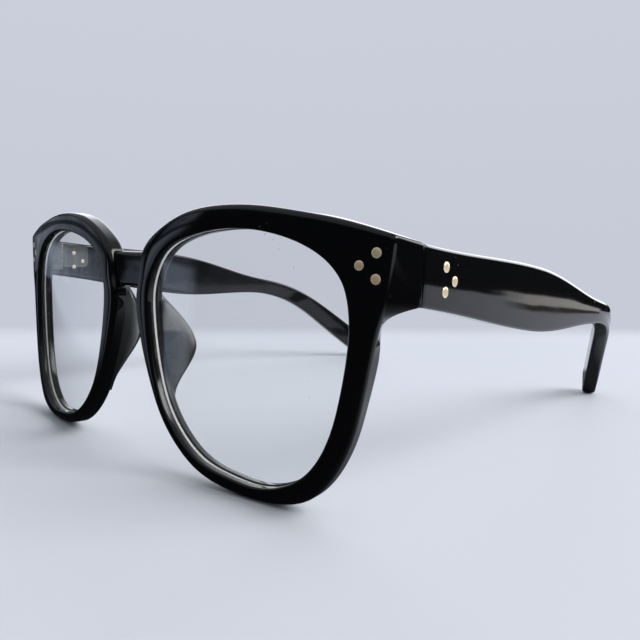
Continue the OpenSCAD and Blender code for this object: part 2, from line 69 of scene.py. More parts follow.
# One rim, clockwise from the nose: the opening's place in halves of its size, then the step to the rim's
# outer edge in widths of the rim.
RIM = np.array([
    [-1.000, 0.359, -1.12, 0.06], [-0.971, 0.545, -1.05, 0.16], [-0.882, 0.716, -1.27, 0.53],
    [-0.709, 0.859, -0.98, 0.79], [-0.428, 0.951, -0.63, 1.08], [-0.091, 0.998, -0.26, 1.10],
    [0.238, 0.986, 0.13, 1.09], [0.547, 0.915, 0.63, 1.18], [0.779, 0.801, 1.25, 1.46],
    [0.908, 0.674, 2.45, 1.67], [0.967, 0.551, 1.82, -0.21], [0.996, 0.386, 1.37, -0.01],
    [0.995, 0.157, 1.09, -0.02], [0.949, -0.190, 0.98, -0.18], [0.858, -0.542, 0.88, -0.39],
    [0.660, -0.839, 0.52, -0.83], [0.336, -0.987, 0.13, -0.66], [-0.003, -0.981, -0.07, -0.65],
    [-0.368, -0.894, -0.24, -0.55], [-0.687, -0.640, -0.43, -0.38], [-0.862, -0.332, -0.60, -0.24],
    [-0.961, 0.036, -0.92, -0.14]])
RIM_N = len(RIM)
END_TOP, END_LOW = 9, 10


def unit(v):
    return v / np.linalg.norm(v)


def ramp(x):
    return 0.0 if x <= 0 else 1.0 if x >= 1 else (1 - math.cos(math.pi * x)) / 2


def between(a, b, x):
    return a + (b - a) * ramp(x)


class Outline:
    """A closed curve through keys, even in its bend except at the corners, which are rounded by r."""

    def __init__(self, keys, corners=(), r=0.0):
        n = len(keys)
        self.keys, self.corners, self.r = keys, corners, r
        rows, right = np.zeros((n, n)), np.zeros((n, 2))
        for i in range(n):
            rows[i, i] = 1 if i in corners else 4
            if i not in corners:
                rows[i, i - 1] = rows[i, (i + 1) % n] = 1
                right[i] = 3 * (keys[(i + 1) % n] - keys[i - 1])
        self.slopes = np.linalg.solve(rows, right)

    def plain(self, t):
        i, n = math.floor(t), len(self.keys)
        x, a, b = t - i, i % n, (i + 1) % n
        return (self.keys[a] * (2 * x ** 3 - 3 * x * x + 1) + self.slopes[a] * (x ** 3 - 2 * x * x + x)
                + self.keys[b] * (3 * x * x - 2 * x ** 3) + self.slopes[b] * (x ** 3 - x * x))

    def at(self, t):
        t, p = t % len(self.keys), self.plain(t)
        for c in self.corners:
            away = math.copysign(np.linalg.norm(p - self.keys[c]), t - c)
            if abs(t - c) < 0.9 and abs(away) < self.r:
                start = self.keys[c] + self.r * unit(self.plain(c - 0.3) - self.keys[c])
                end = self.keys[c] + self.r * unit(self.plain(c + 0.3) - self.keys[c])
                x = (away / self.r + 1) / 2
                return start * (1 - x) ** 2 + self.keys[c] * 2 * x * (1 - x) + end * x * x
        return p


opening_keys = MIDDLE + RIM[:, :2] * [LENS_W / 2, LENS_H / 2]
front_keys = opening_keys + RIM_W * RIM[:, 2:]
hinge_v = (front_keys[END_TOP][1] + front_keys[END_LOW][1]) / 2 - HINGE_DOWN
temple_v = hinge_v - TEMPLE_DOWN
temple_out = front_keys[END_TOP][0] + END_FLARE
temple_in = temple_out - TEMPLE_T
back_keys = front_keys.copy()
back_keys[[END_TOP, END_LOW], 0] = temple_out * FACE_R / (FACE_R - FRONT_T)
back_keys[[END_TOP, END_LOW], 1] = temple_v + H_JOINT / 2, temple_v - H_JOINT / 2
opening = Outline(opening_keys)
outer = Outline(front_keys, (END_TOP, END_LOW), END_CORNER_R)
outer_back = Outline(back_keys, (END_TOP, END_LOW), END_CORNER_R)


def outward(t):
    d = unit(opening.at(t + 0.05) - opening.at(t - 0.05))
    return np.array([-d[1], d[0]])


def bent(p, d):
    """A place on the bent front: p across and up, d behind the front surface."""
    a = math.asin(p[0] / FACE_R)
    return np.array([(FACE_R - d) * math.sin(a), FACE_R - (FACE_R - d) * math.cos(a), p[1]])


def back_y(x):
    return FACE_R - math.sqrt((FACE_R - FRONT_T) ** 2 - x * x)


# The stance, read from the left hinge's pin: how far the frame leans and where it stands.
pin = next(j for j in frame["joints"] if j["name"] == "left_temple_fold")
lean = math.atan2(pin["axis"][1], pin["axis"][2])
pin_from_axis = FACE_R - FRONT_T - PIN_STAND
pin_x = temple_in - PIN_STAND
pin_a = math.asin(pin_x / pin_from_axis)
pin_y = FACE_R - pin_from_axis * math.cos(pin_a)
stand_y = pin["pos_m"][1] * 1000 - pin_y * math.cos(lean) - hinge_v * math.sin(lean)
stand_z = pin["pos_m"][2] * 1000 - hinge_v * math.cos(lean) + pin_y * math.sin(lean)


def turned(points):
    """Directions in the upright front, as they are in the leaning one."""
    p = np.asarray(points, float)
    c, s = math.cos(lean), math.sin(lean)
    return np.stack([p[..., 0], p[..., 1] * c + p[..., 2] * s, p[..., 2] * c - p[..., 1] * s], -1)


def put(points):
    return (turned(points) + [0, stand_y, stand_z]) / 1000


def arc(start, end, r, steps):
    """Points on an arc about nought, from one angle to another in degrees."""
    turns = np.linspace(math.radians(start), math.radians(end), steps)
    return [r * np.array([math.cos(a), math.sin(a)]) for a in turns]


class Skin:
    """A mesh in the making: rings of points joined by quads, with ends closed or run round."""

    def __init__(self):
        self.points, self.faces, self.slots = [], [], []

    def add(self, rings, closed=False, caps=True, slot=0, flip=False):
        base, n, m = len(self.points), len(rings), len(rings[0])
        for ring in rings:
            self.points.extend(ring)
        made = []
        for i in range(n if closed else n - 1):
            for j in range(m):
                a, b, k = base + i * m, base + (i + 1) % n * m, (j + 1) % m
                made.append([a + j, a + k, b + k, b + j])
        if not closed and caps:
            for row, turn in ((0, False), (n - 1, True)):
                middle = len(self.points)
                self.points.append(np.mean(rings[row], 0))
                for j in range(m):
                    a, k = base + row * m, (j + 1) % m
                    made.append([middle, a + j, a + k] if turn else [middle, a + k, a + j])
        self.faces.extend([f[::-1] for f in made] if flip else made)
        self.slots.extend([slot] * len(made))

    def piece(self, name, finishes, mirrored=False, sharp=40):
        p = put(self.points)
        faces = self.faces
        if mirrored:
            p[:, 0] *= -1
            faces = [f[::-1] for f in faces]
        mesh = bpy.data.meshes.new(name)
        mesh.from_pydata([tuple(q) for q in p], [], faces)
        for finish in finishes:
            mesh.materials.append(finish)
        mesh.polygons.foreach_set("material_index", self.slots)
        return self.link(name, mesh, sharp)

    @staticmethod
    def link(name, mesh, sharp):
        bm = bmesh.new()
        bm.from_mesh(mesh)
        bmesh.ops.remove_doubles(bm, verts=bm.verts, dist=2e-7)
        bmesh.ops.recalc_face_normals(bm, faces=bm.faces)
        bm.to_mesh(mesh)
        bm.free()
        mesh.shade_smooth()
        mesh.set_sharp_from_angle(angle=math.radians(sharp))
        o = bpy.data.objects.new(name, mesh)
        bpy.context.scene.collection.objects.link(o)
        return o


def along(a, b, shares):
    return [a + (b - a) * s for s in shares]


# Shader trees

class Value:
    """One socket of a shader tree. Sums on it add the tree's Math nodes."""

    def __init__(self, tree, socket):
        self.tree, self.socket = tree, socket

    def math(self, operation, *others):
        return self.tree.node("Math", {"operation": operation}, dict(enumerate((self, *others))))

    def __add__(self, o):
        return self.math("ADD", o)

    def __sub__(self, o):
        return self.math("SUBTRACT", o)

    def __mul__(self, o):
        return self.math("MULTIPLY", o)

    def __truediv__(self, o):
        return self.math("DIVIDE", o)

    def __pow__(self, o):
        return self.math("POWER", o)

    def __rsub__(self, o):
        return self.tree.node("Math", {"operation": "SUBTRACT"}, {0: o, 1: self})

    __radd__, __rmul__ = __add__, __mul__

    def step(self, low, high, a=0.0, b=1.0):
        """Rises smoothly from a to b while the value goes from low to high."""
        return self.tree.node("MapRange", {"interpolation_type": "SMOOTHSTEP"},
                              {"Value": self, "From Min": low, "From Max": high, "To Min": a, "To Max": b})


class Tree:
    """A material's or the world's shader tree."""

    def __init__(self, owner):
        owner.use_nodes = True
        self.owner, self.nodes, self.links = owner, owner.node_tree.nodes, owner.node_tree.links
        self.nodes.clear()

    def node(self, kind, settings=None, sockets=None, out=0):
        n = self.nodes.new("ShaderNode" + kind)
        for key, value in (settings or {}).items():
            setattr(n, key, value)
        for key, value in (sockets or {}).items():
            if isinstance(value, Value):
                self.links.new(value.socket, n.inputs[key])
            elif value is not None:
                n.inputs[key].default_value = value
        return Value(self, n.outputs[out]) if n.outputs else None

    def mix(self, share, a, b):
        """Goes from colour a to colour b."""
        n = self.nodes.new("ShaderNodeMix")
        n.data_type = "RGBA"
        for key, value in ((0, share), (6, a), (7, b)):
            if isinstance(value, Value):
                self.links.new(value.socket, n.inputs[key])
            else:
                n.inputs[key].default_value = value if key == 0 else (*value, 1)
        return Value(self, n.outputs[2])

    def place(self):
        return self.node("TexCoord", out=3)

    def parts(self, vector):
        """The x, y and z of a vector."""
        split = self.node("SeparateXYZ", {}, {0: vector}).socket.node
        return [Value(self, socket) for socket in split.outputs]

    def noise(self, scale, detail=3.0, where=None, rough=0.55):
        return self.node("TexNoise", {}, {"Vector": where or self.place(), "Scale": scale, "Detail": detail,
                                          "Roughness": rough})

    def stretched(self, scale, turn=(0, 0, 0)):
        return self.node("Mapping", {"vector_type": "TEXTURE"},
                         {"Vector": self.place(), "Scale": scale, "Rotation": turn})

    def bump(self, height, strength, distance, under=None):
        return self.node("Bump", {}, {"Height": height, "Strength": strength, "Distance": distance,
                                      "Normal": under})

    def principled(self, **sockets):
        """Sockets by name, with an underline for a space. A colour is three numbers."""
        named = {}
        for key, value in sockets.items():
            if isinstance(value, tuple):
                value = (*value, 1)
            named[key.replace("_", " ")] = value
        return self.node("BsdfPrincipled", {}, named)

    def done(self, shader, kind="OutputMaterial"):
        self.node(kind, {}, {0: shader})
        return self.owner


ACETATE_IOR, LENS_IOR, LENS_SHEEN = 1.48, 1.5, 1.5


def finish(name):
    return Tree(bpy.data.materials.new(name))


def dust(t, amount):
    """Fine specks of dust, fewer where the noise is low."""
    cells = t.node("TexVoronoi", {"feature": "F1"}, {"Vector": t.place(), "Scale": 620.0, "Randomness": 1.0})
    return cells.step(0.16, 0.09) * t.noise(160, 2).step(0.6, 0.7) * amount


def black_acetate():
    """Tumbled and polished: deep black, with the slow waves, hazy smears and hairlines of handled gloss."""
    t = finish("black acetate, polished")
    smear = t.noise(70, 4, t.stretched((1, 3, 1), (0.5, 0.2, 0.3))).step(0.48, 0.78)
    hairs = t.noise(900, 2, t.stretched((1, 14, 3), (0.2, 0.1, 0.7)))
    waves = t.bump(t.noise(95, 1), 0.07, 0.0006)
    scratched = t.bump(hairs, 0.035, 0.00006, waves)
    specks = dust(t, 0.5)
    return t.done(t.principled(
        Base_Color=t.mix(specks, (0.0032, 0.0033, 0.0036), (0.32, 0.33, 0.34)),
        Roughness=0.045 + smear * 0.07 + hairs * 0.02 + specks * 0.4, Normal=scratched, IOR=ACETATE_IOR))


def satin_acetate():
    """The pads: the same acetate, buffed less, so that skin doesn't slip."""
    t = finish("black acetate, satin")
    grain = t.noise(1500, 3)
    worn = t.noise(120, 3).step(0.35, 0.7)
    return t.done(t.principled(
        Base_Color=t.mix(worn, (0.006, 0.0065, 0.0068), (0.011, 0.012, 0.0125)),
        Roughness=0.2 + worn * 0.12 + grain * 0.05, Normal=t.bump(grain, 0.08, 0.00005), IOR=ACETATE_IOR))


def clear_lens():
    """A plain lens: what is behind shows, with a faint gloss, wiped smears and a little dust."""
    t = finish("clear lens")
    smear = t.noise(45, 4, t.stretched((1, 2.5, 1), (0, 0.6, 0.2))).step(0.5, 0.8)
    gloss = t.node("BsdfGlossy", {}, {"Color": (0.96, 0.98, 1, 1), "Roughness": 0.0})
    haze = t.node("BsdfDiffuse", {}, {"Color": (0.75, 0.8, 0.85, 1)})
    bare = t.node("MixShader", {}, {
        "Fac": smear * 0.012 + dust(t, 0.3) + 0.006,
        1: t.node("BsdfTransparent", {}, {"Color": (0.985, 0.992, 0.99, 1)}), 2: haze})
    outside = 1 - t.node("NewGeometry", out=6)
    return t.done(t.node("MixShader", {}, {
        "Fac": t.node("Fresnel", {}, {"IOR": LENS_IOR}) * outside * LENS_SHEEN, 1: bare, 2: gloss}))


def ground_edge():
    """The ground bevel round a lens, with a painted glow: a weak emission stands in for the light that the
    lens carries to its edge.
    """
    t = finish("ground lens edge")
    grit = t.noise(2600, 2)
    return t.done(t.principled(
        Base_Color=t.mix(grit, (0.84, 0.83, 0.80), (0.96, 0.95, 0.92)), Roughness=0.45 + grit * 0.2,
        # Painted glow: the emission lights the bevel, though it is no lamp.
        Normal=t.bump(grit, 0.3, 0.00004), Emission_Color=(1.0, 0.98, 0.95), Emission_Strength=0.2))


def polished_edge():
    """The rest of the lens edge: polished clear, so the dark rim shows through it."""
    t = finish("polished lens edge")
    rubbed = t.noise(300, 3).step(0.45, 0.75)
    frost = t.node("BsdfDiffuse", {}, {"Color": (0.62, 0.62, 0.6, 1)})
    clear = t.node("BsdfTransparent", {}, {"Color": (0.9, 0.91, 0.9, 1)})
    return t.done(t.node("MixShader", {}, {"Fac": rubbed * 0.07 + 0.02, 1: clear, 2: frost}))


def rivet_brass():
    """Filed flush and polished: brighter where the rim is burnished, warmer in the middle."""
    t = finish("rivet brass")
    rim = t.node("Attribute", {"attribute_name": "radial"}, out=2)
    turned_marks = t.noise(1800, 3)
    edge = rim.step(0.55, 0.95)
    return t.done(t.principled(
        Base_Color=t.mix(edge, (0.90, 0.69, 0.40), (0.99, 0.90, 0.68)), Metallic=0.55,
        Roughness=0.34 - edge * 0.1 + turned_marks * 0.12, Normal=t.bump(turned_marks, 0.12, 0.00003)))


def plated_hinge():
    """Thinly gilt, and dull with use."""
    t = finish("hinge, gilt")
    grain = t.noise(2200, 3, t.stretched((1, 1, 8)))
    tarnish = t.noise(400, 3).step(0.5, 0.75)
    return t.done(t.principled(
        Base_Color=t.mix(tarnish, (0.44, 0.42, 0.37), (0.30, 0.28, 0.24)), Metallic=1.0,
        Roughness=0.2 + grain * 0.06 + tarnish * 0.08, Normal=t.bump(grain, 0.03, 0.00002)))


def screw_steel(name):
    """Turned steel, also for the core wires."""
    t = finish(name)
    grain = t.noise(3000, 3, t.stretched((4, 4, 1)))
    return t.done(t.principled(
        Base_Color=t.mix(grain, (0.55, 0.55, 0.57), (0.72, 0.72, 0.73)), Metallic=1.0,
        Roughness=0.2 + grain * 0.15, Normal=t.bump(grain, 0.1, 0.00003)))


ACETATE, SATIN, LENS, GROUND = black_acetate(), satin_acetate(), clear_lens(), ground_edge()
BRASS, GILT, POLISHED = rivet_brass(), plated_hinge(), polished_edge()
SCREW, CORE = screw_steel("screw steel"), screw_steel("core wire steel")


# Front

# Shares of the way along straight parts of a section, and steps of its roundings.
SIDE_SHARES, BACK_SHARES = (0.05, 0.5, 0.95), (0.03, 0.3, 0.65, 0.97)
EDGE_STEPS, BACK_EDGE_STEPS, OPENING_STEPS = 8, 7, 5
PILLOW, PILLOW_SHARES = 0.09, (0.02, 0.15, 0.3, 0.45, 0.6, 0.75, 0.9, 0.98)
RIM_STEPS, BRIDGE_RINGS = 14, 33
BRIDGE_SINK, BRIDGE_BACK_INSET = 2.2, 0.05


def back_r(t):
    """The rounding of the back edge, which is sharper where the temple closes on it."""
    t = t % RIM_N
    return between(JOINT_EDGE_R, BACK_EDGE_R, max(END_TOP - t, t - END_LOW, 0))


def rim_section(t):
    """From the outer front edge round the back and the opening to the front again.

    o is on the opening, and p and q are on the outer edge, at the front and at the back.
    e and g point from o to them. The sides flare from p to q, and the roundings end at that slant.
    The front face swells a little between its edges.
    """
    o, n, p, q = opening.at(t), outward(t), outer.at(t), outer_back.at(t)
    e, g, r, k = unit(p - o), unit(q - o), back_r(t), OPENING_EDGE
    bulge = (bent(o, -1) - bent(o, 0)) * PILLOW * min(1, np.linalg.norm(p - o) / RIM_W)
    flare = math.degrees(math.atan2(np.dot(q - p, e), FRONT_T))
    ring = [bent(p + e * (c[0] - EDGE_R), EDGE_R + c[1]) for c in arc(-90, -flare, EDGE_R, EDGE_STEPS)]
    last = [bent(q + g * (c[0] - r), FRONT_T - r + c[1]) for c in arc(-flare, 90, r, BACK_EDGE_STEPS)]
    ring += along(ring[-1], last[0], SIDE_SHARES) + last
    wall = [bent(o + g * (k + c[0]), FRONT_T - k + c[1]) for c in arc(90, 180, k, OPENING_STEPS)]
    ring += along(ring[-1], wall[0], BACK_SHARES) + wall
    groove = ((0, GROOVE_HALF_W), (GROOVE_D, 0), (0, -GROOVE_HALF_W))
    ring += [bent(o + n * out, GROOVE_AT + d) for out, d in groove]
    ring += [bent(o + e * (k + c[0]), k + c[1]) for c in arc(180, 270, k, OPENING_STEPS)]
    flat = along(ring[-1], ring[0], PILLOW_SHARES)
    return ring + [c + bulge * (1 - (2 * share - 1) ** 2) for c, share in zip(flat, PILLOW_SHARES)]


def bridge_section(x):
    """A rounded bar, slimmer in the middle. x goes from -1 in one rim to 1 in the other."""
    u = x * (front_keys[1][0] + BRIDGE_SINK)
    s = BRIDGE_SADDLE * (1 - x * x)
    near, far = BRIDGE_INSET + s, FRONT_T - BRIDGE_BACK_INSET - s / 3
    top, low = BRIDGE_TOP - s / 3, BRIDGE_TOP - BRIDGE_H + s
    ring = []
    for sx, sy, start in ((1, 1, 0), (-1, 1, 90), (-1, -1, 180), (1, -1, 270)):
        middle = np.array([sx * ((far - near) / 2 - BRIDGE_R), sy * ((top - low) / 2 - BRIDGE_R)])
        ring += [middle + c for c in arc(start, start + 90, BRIDGE_R, EDGE_STEPS)]
    return [bent([u, (top + low) / 2 + q[1]], (near + far) / 2 + q[0]) for q in ring]


rim_rings = [rim_section(k / RIM_STEPS) for k in range(RIM_N * RIM_STEPS)]
front_skin = Skin()
front_skin.add(rim_rings, closed=True)
front_skin.add([[p * [-1, 1, 1] for p in ring] for ring in rim_rings], closed=True, flip=True)
front_skin.add([bridge_section(x) for x in np.linspace(-1, 1, BRIDGE_RINGS)])
front = front_skin.piece("front_acetate", [ACETATE])
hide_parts("front")
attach(front, "front")


# Nose pads

PAD_FOOT_W, PAD_FROM_OPENING, PAD_SINK, PAD_D_MIN = 3.6, 0.3, 0.01, 0.12
PAD_TIP_SHARE, PAD_TIP_STEPS, PAD_RINGS = 0.8, 13, 72
PAD_OUT_SHARES, PAD_BACK_SHARES = (0.08, 0.25, 0.45, 0.65, 0.85), (0.9, 0.72, 0.54, 0.36, 0.18)
NOSE_SIDE = 18.5, RIM_N + 2


def pad_depth(v):
    if v > PAD_MID:
        share = math.sin(math.pi / 2 * min(1, (PAD_TOP - v) / (PAD_TOP - PAD_MID)))
    else:
        share = ramp((v - PAD_LOW) / (PAD_MID - PAD_LOW))
    return max(PAD_D_MIN, PAD_D * share)


def pad_section(t):
    """Fills the rim's rounded back edge and runs back from it, leaning from the nose."""
    o, p = opening.at(t), outer.at(t)
    e = unit(p - o)
    w = min(np.linalg.norm(p - o) - PAD_FROM_OPENING, PAD_FOOT_W)
    d = pad_depth(p[1])
    lean_in, tip = PAD_SPLAY * d, min(PAD_TIP_T, w * PAD_TIP_SHARE)
    r, back = tip / 2, FRONT_T - PAD_SINK
    run = max(PAD_D_MIN / 2, d - r)
    ring = [bent(p + e * (c[0] - BACK_EDGE_R), back - BACK_EDGE_R + c[1])
            for c in arc(0, 90, BACK_EDGE_R, BACK_EDGE_STEPS)]
    ring += [bent(p - e * w, back)]
    ring += [bent(p - e * (w + (lean_in + tip - w) * s), back + run * s) for s in PAD_OUT_SHARES]
    ring += [bent(p - e * (lean_in + r + r * math.cos(a)), back + run + min(r, d) * math.sin(a))
             for a in np.linspace(0, math.pi, PAD_TIP_STEPS)]
    return ring + [bent(p - e * lean_in * s * s, back + run * s) for s in PAD_BACK_SHARES]


def place_at(v, a, b):
    """Where the outer edge is at height v, between a and b along it."""
    for _ in range(24):
        c = (a + b) / 2
        a, b = (c, b) if outer.at(c)[1] < v else (a, c)
    return (a + b) / 2


pad_from, pad_to = place_at(PAD_TOP, *NOSE_SIDE), place_at(PAD_LOW, *NOSE_SIDE)
for side in ("left", "right"):
    skin = Skin()
    skin.add([pad_section(t) for t in np.linspace(pad_from, pad_to, PAD_RINGS)])
    pad = skin.piece("pad_" + side, [SATIN], mirrored=side == "right")
    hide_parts("nose_pad_" + side)
    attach(pad, "front")


# Lenses

HALF_T, HALF_BEVEL, BEVEL_D = LENS_T / 2, GROOVE_HALF_W - LENS_PLAY, GROOVE_D - 2 * LENS_PLAY
GROUND_SHARE = 0.5
FACE_SHARES = (0.02, 0.12, 0.24, 0.36, 0.48, 0.6, 0.72, 0.84, 0.94, 1)
FACE_SLOT, GROUND_SLOT, POLISHED_SLOT = range(3)
# The edge from the front face to the back one, by steps out from the opening and back from the groove's
# middle. Behind its peak a share of the bevel is ground, and the rest of the edge is polished.
EDGE = ((-LENS_PLAY, -HALF_T), (-LENS_PLAY, -HALF_BEVEL), (BEVEL_D, 0),
        (BEVEL_D * GROUND_SHARE - LENS_PLAY * (1 - GROUND_SHARE), HALF_BEVEL * (1 - GROUND_SHARE)),
        (-LENS_PLAY, HALF_BEVEL), (-LENS_PLAY, HALF_T))
EDGE_SLOTS = (POLISHED_SLOT, POLISHED_SLOT, GROUND_SLOT, POLISHED_SLOT, POLISHED_SLOT)


def lens_ring(out, d, share):
    """The opening's outline, moved out, d behind the front and at a share of its size."""
    ring = []
    for k in range(RIM_N * RIM_STEPS):
        t = k / RIM_STEPS
        p = opening.at(t) + outward(t) * out
        ring.append(bent(MIDDLE + (p - MIDDLE) * share, d))
    return ring


for side in ("left", "right"):
    skin = Skin()
    for sign in (-1, 1):
        rim_d = GROOVE_AT + sign * HALF_T
        bulged = [lens_ring(-LENS_PLAY, rim_d - LENS_BULGE * (1 - s * s), s) for s in FACE_SHARES]
        skin.add(bulged, caps=False, slot=FACE_SLOT)
        middle, m = len(skin.points), len(bulged[0])
        base = middle - len(bulged) * m
        skin.points.append(bent(MIDDLE, rim_d - LENS_BULGE))
        skin.faces += [[middle, base + j, base + (j + 1) % m] for j in range(m)]
        skin.slots += [FACE_SLOT] * m
    for band, slot_of in enumerate(EDGE_SLOTS):
        rings = [lens_ring(out, GROOVE_AT + d, 1) for out, d in EDGE[band:band + 2]]
        skin.add(rings, caps=False, slot=slot_of)
    lens = skin.piece("glazing_" + side, [LENS, GROUND, POLISHED], mirrored=side == "right", sharp=25)
    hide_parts("lens_" + side)
    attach(lens, "front")


# Temples

TIP_R_SHARE, TIP_T_SHARE, TURN_IN_EARLY, TURN_IN_SHARE = 0.55, 0.45, 4, 0.9
TRACE_STEPS, FIRST_RING, BODY_RINGS, JOINT_TURN_L = 1449, 1.2, 128, 5
# The joint end's small rounding, by steps back from the joint and in from the sides.
JOINT_ROUNDING = ((0, 0.14), (0.04, 0.04), (0.14, 0))
# The outer face starts at this angle of the edges beside it, in degrees.
CROWN_FROM, CROWN_STEPS = 4, 11

tip_r = H_TIP * TIP_R_SHARE
temple_body = TEMPLE_L - tip_r


def heading(s):
    """The way that the temple runs at s, turning inwards and down at the bend."""
    a = math.radians(INSET * ramp((s - BEND_AT + TURN_IN_EARLY) / (BEND_L * TURN_IN_SHARE)))
    b = math.radians(SLOPE + DROP * ramp((s - BEND_AT) / BEND_L))
    return np.array([-math.sin(a) * math.cos(b), math.cos(a) * math.cos(b), -math.sin(b)])


def temple_height(s):
    if s < WIDE_AT:
        return between(H_JOINT, H_WIDE, s / WIDE_AT)
    if s < WAIST_AT:
        return between(H_WIDE, H_WAIST, (s - WIDE_AT) / (WAIST_AT - WIDE_AT))
    return between(H_WAIST, H_TIP, (s - WAIST_AT) / (FULL_AT - WAIST_AT))


def temple_section(h, t):
    """Round-edged, with a slightly crowned outer face at +x."""
    r = min(TEMPLE_EDGE_R, h * 0.45, t * 0.45)
    a, b = t / 2 - r, h / 2 - r
    turns = ((1, 1, CROWN_FROM, 90), (-1, 1, 90, 180), (-1, -1, 180, 270), (1, -1, 270, 360 - CROWN_FROM))
    corners = [[np.array([sx * a, sy * b]) + c for c in arc(start, end, r, EDGE_STEPS)]
               for sx, sy, start, end in turns]
    ring = []
    for here, there in zip(corners, corners[1:]):
        ring += here + along(here[-1], there[0], SIDE_SHARES)
    ring += corners[-1]
    return ring + [np.array([t / 2 + TEMPLE_CROWN * (1 - y * y) * (t / TEMPLE_T), y * b])
                   for y in np.linspace(-0.9, 0.9, CROWN_STEPS)]


joint_x = temple_in + TEMPLE_T / 2
fine = np.linspace(0, TEMPLE_L, TRACE_STEPS)
line = [np.array([joint_x, back_y(joint_x) + JOINT_GAP, temple_v])]
for a, b in zip(fine, fine[1:]):
    line.append(line[-1] + (b - a) * heading((a + b) / 2))
line = np.array(line)


def line_at(s):
    return np.array([np.interp(s, fine, line[:, i]) for i in range(3)])


def temple_ring(s, back=0.0, inset=0.0):
    """The section at s along the temple. Near the joint the rings turn until they lie on its plane."""
    a = max(0.0, (s - temple_body) / tip_r)
    close = math.sqrt(max(0.0, 1 - a * a))
    f = heading(s)
    out = unit(np.array([f[1], -f[0], 0]))
    up = np.cross(out, f)
    thin = TIP_T_SHARE + (1 - TIP_T_SHARE) * close
    h, thick = temple_height(s) * close - 2 * inset, TEMPLE_T * thin - 2 * inset
    ring = []
    for q in temple_section(h, thick):
        g = line_at(s) + out * q[0] + up * q[1]
        flat = max(0.0, 1 - s / JOINT_TURN_L)
        ring.append(g + f * (back_y(g[0]) + JOINT_GAP + s * f[1] + back - g[1]) / f[1] * flat)
    return ring


tip_stations = [temple_body + tip_r * math.sin(a) for a in np.radians(np.arange(4, 89, 4))]
temple_rings = [temple_ring(0, back, inset) for back, inset in JOINT_ROUNDING]
temple_rings += [temple_ring(s) for s in (*np.linspace(FIRST_RING, temple_body, BODY_RINGS), *tip_stations)]
for side in ("left", "right"):
    skin = Skin()
    skin.add(temple_rings)
    temple = skin.piece("temple_acetate_" + side, [ACETATE], mirrored=side == "right")
    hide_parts("temple_" + side)
    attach(temple, side + "_temple")


# Rivets

# The shown head is a little smaller and lower than the model's. Sizes are in millimetres.
HEAD_SHARE, CROWN_SHARE, RIVET_SKIRT, RIVET_L, RIVET_PEENED = 0.92, 0.8, 0.3, 4.5, 0.06
DOME_POWER, DISH_REACH, DISH_D = 3.2, 2.2, 0.08
HEAD_INSET, SHANK_SHORT, UNDER_HEAD = 0.02, 0.02, 0.1


class Growth:
    """A Geometry Nodes tree with named sizes, run on a mesh and left as plain mesh."""

    def __init__(self, name):
        self.group = bpy.data.node_groups.new(name, "GeometryNodeTree")
        self.inputs = {}
        self.group.interface.new_socket("Geometry", in_out="INPUT", socket_type="NodeSocketGeometry")
        self.group.interface.new_socket("Geometry", in_out="OUTPUT", socket_type="NodeSocketGeometry")

    def size(self, name, value):
        socket = self.group.interface.new_socket(name, in_out="INPUT", socket_type="NodeSocketFloat")
        self.inputs[name] = (socket.identifier, value)

    def start(self):
        self.entry = self.group.nodes.new("NodeGroupInput")
        return self.entry.outputs["Geometry"]

    def given(self, name):
        return self.entry.outputs[name]

    def node(self, kind, settings=None, sockets=None, out=0):
        n = self.group.nodes.new(kind)
        for key, value in (settings or {}).items():
            setattr(n, key, value)
        for key, value in (sockets or {}).items():
            if isinstance(value, bpy.types.NodeSocket):
                self.group.links.new(value, n.inputs[key])
            else:
                n.inputs[key].default_value = value
        return n.outputs[out]

    def end(self, geometry, finish_of):
        real = self.node("GeometryNodeRealizeInstances", {}, {0: geometry})
        set_to = self.node("GeometryNodeSetMaterial", {}, {0: real, "Material": finish_of})
        self.group.links.new(set_to, self.group.nodes.new("NodeGroupOutput").inputs[0])

    def grow(self, name, seeds, **sizes):
        """Runs the tree on the seeds' mesh, with other sizes where they are given, and links the result."""
        base = bpy.data.objects.new(name + "_seeds", seeds)
        bpy.context.scene.collection.objects.link(base)
        modifier = base.modifiers.new("grow", "NODES")
        modifier.node_group = self.group
        for size_name, (identifier, value) in self.inputs.items():
            modifier[identifier] = sizes.get(size_name, value)
        shown = base.evaluated_get(bpy.context.evaluated_depsgraph_get())
        mesh = bpy.data.meshes.new_from_object(shown)
        bpy.data.objects.remove(base)
        mesh.name = name
        return Skin.link(name, mesh, 35)


def seeds_mesh(name, places, outwards):
    """Points with the direction that each piece faces."""
    mesh = bpy.data.meshes.new(name)
    mesh.from_pydata([tuple(p) for p in places], [], [])
    facing = mesh.attributes.new("facing", "FLOAT_VECTOR", "POINT")
    facing.data.foreach_set("vector", np.asarray(outwards, float).ravel())
    return mesh


